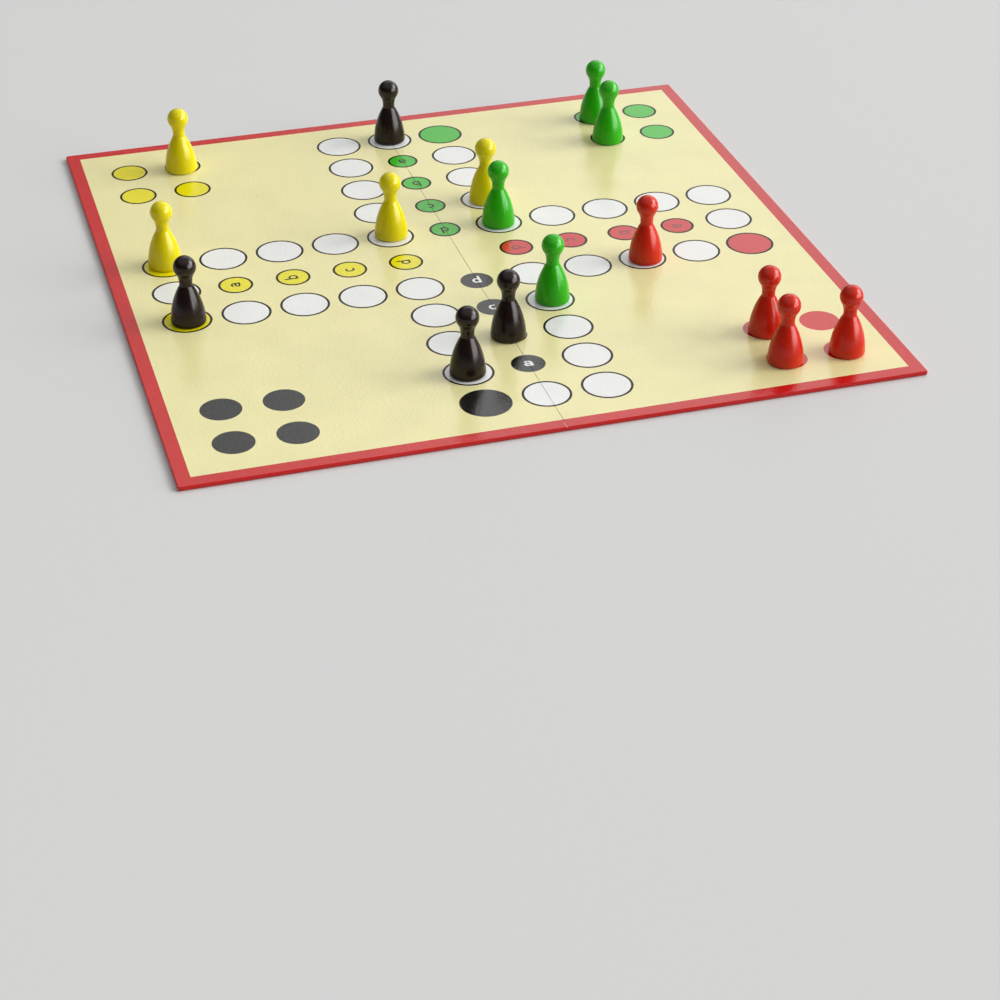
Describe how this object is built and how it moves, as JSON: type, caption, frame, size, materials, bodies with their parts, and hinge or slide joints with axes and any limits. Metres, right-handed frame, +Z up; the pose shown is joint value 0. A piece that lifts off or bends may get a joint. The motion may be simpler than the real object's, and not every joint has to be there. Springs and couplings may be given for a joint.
{
  "type": "folding board game",
  "caption": "Flat square board game panel set, folding in half on a cloth hinge, printed with round playing fields and a border, with turned ball-headed pawns standing on it.",
  "frame": {"origin": "on the underside, on the fold, half way between the near and the far edge", "axes": "+X to the right across the fold, +Y along the fold to the far edge, +Z up out of the printed face"},
  "size_m": [0.254, 0.254, 0.0268],
  "materials": {
    "greyboard": "matte grey board, cut edges covered",
    "printed_paper": "printed sheet with a glossy film, slight orange peel",
    "backing_paper": "matte lining paper",
    "book_cloth": "woven book cloth",
    "yellow_lacquer": "turned beech, glossy yellow lacquer",
    "black_lacquer": "turned beech, glossy black-brown lacquer",
    "green_lacquer": "turned beech, glossy green lacquer",
    "red_lacquer": "turned beech, glossy red lacquer"
  },
  "bodies": {
    "left_panel": {"core_left": "greyboard", "printed_sheet_left": "printed_paper", "backing_left": "backing_paper", "hinge_cloth": "book_cloth"},
    "right_panel": {"core_right": "greyboard", "printed_sheet_right": "printed_paper", "backing_right": "backing_paper"},
    "yellow_pawn_1": {"yellow_pawn_1": "yellow_lacquer"},
    "yellow_pawn_2": {"yellow_pawn_2": "yellow_lacquer"},
    "yellow_pawn_3": {"yellow_pawn_3": "yellow_lacquer"},
    "yellow_pawn_4": {"yellow_pawn_4": "yellow_lacquer"},
    "black_pawn_1": {"black_pawn_1": "black_lacquer"},
    "black_pawn_2": {"black_pawn_2": "black_lacquer"},
    "black_pawn_3": {"black_pawn_3": "black_lacquer"},
    "black_pawn_4": {"black_pawn_4": "black_lacquer"},
    "green_pawn_1": {"green_pawn_1": "green_lacquer"},
    "green_pawn_2": {"green_pawn_2": "green_lacquer"},
    "green_pawn_3": {"green_pawn_3": "green_lacquer"},
    "green_pawn_4": {"green_pawn_4": "green_lacquer"},
    "red_pawn_1": {"red_pawn_1": "red_lacquer"},
    "red_pawn_2": {"red_pawn_2": "red_lacquer"},
    "red_pawn_3": {"red_pawn_3": "red_lacquer"},
    "red_pawn_4": {"red_pawn_4": "red_lacquer"}
  },
  "joints": [
    {"name": "fold", "type": "hinge", "parent": "left_panel", "child": "right_panel", "pos_m": [0, 0, 0], "axis": [0, 1, 0], "range_deg": [0, 180], "deforming": ["hinge_cloth"]},
    {"name": "lift_yellow_pawn_1", "type": "slide", "parent": "left_panel", "child": "yellow_pawn_1", "axis": [0, 0, 1], "range_m": [0, 0.04]},
    {"name": "lift_yellow_pawn_2", "type": "slide", "parent": "left_panel", "child": "yellow_pawn_2", "axis": [0, 0, 1], "range_m": [0, 0.04]},
    {"name": "lift_yellow_pawn_3", "type": "slide", "parent": "left_panel", "child": "yellow_pawn_3", "axis": [0, 0, 1], "range_m": [0, 0.04]},
    {"name": "lift_yellow_pawn_4", "type": "slide", "parent": "right_panel", "child": "yellow_pawn_4", "axis": [0, 0, 1], "range_m": [0, 0.04]},
    {"name": "lift_black_pawn_1", "type": "slide", "parent": "left_panel", "child": "black_pawn_1", "axis": [0, 0, 1], "range_m": [0, 0.04]},
    {"name": "lift_black_pawn_2", "type": "slide", "parent": "left_panel", "child": "black_pawn_2", "axis": [0, 0, 1], "range_m": [0, 0.04]},
    {"name": "lift_black_pawn_3", "type": "slide", "parent": "left_panel", "child": "black_pawn_3", "axis": [0, 0, 1], "range_m": [0, 0.04]},
    {"name": "lift_black_pawn_4", "type": "slide", "parent": "left_panel", "child": "black_pawn_4", "axis": [0, 0, 1], "range_m": [0, 0.04]},
    {"name": "lift_green_pawn_1", "type": "slide", "parent": "right_panel", "child": "green_pawn_1", "axis": [0, 0, 1], "range_m": [0, 0.04]},
    {"name": "lift_green_pawn_2", "type": "slide", "parent": "right_panel", "child": "green_pawn_2", "axis": [0, 0, 1], "range_m": [0, 0.04]},
    {"name": "lift_green_pawn_3", "type": "slide", "parent": "right_panel", "child": "green_pawn_3", "axis": [0, 0, 1], "range_m": [0, 0.04]},
    {"name": "lift_green_pawn_4", "type": "slide", "parent": "right_panel", "child": "green_pawn_4", "axis": [0, 0, 1], "range_m": [0, 0.04]},
    {"name": "lift_red_pawn_1", "type": "slide", "parent": "right_panel", "child": "red_pawn_1", "axis": [0, 0, 1], "range_m": [0, 0.04]},
    {"name": "lift_red_pawn_2", "type": "slide", "parent": "right_panel", "child": "red_pawn_2", "axis": [0, 0, 1], "range_m": [0, 0.04]},
    {"name": "lift_red_pawn_3", "type": "slide", "parent": "right_panel", "child": "red_pawn_3", "axis": [0, 0, 1], "range_m": [0, 0.04]},
    {"name": "lift_red_pawn_4", "type": "slide", "parent": "right_panel", "child": "red_pawn_4", "axis": [0, 0, 1], "range_m": [0, 0.04]}
  ]
}
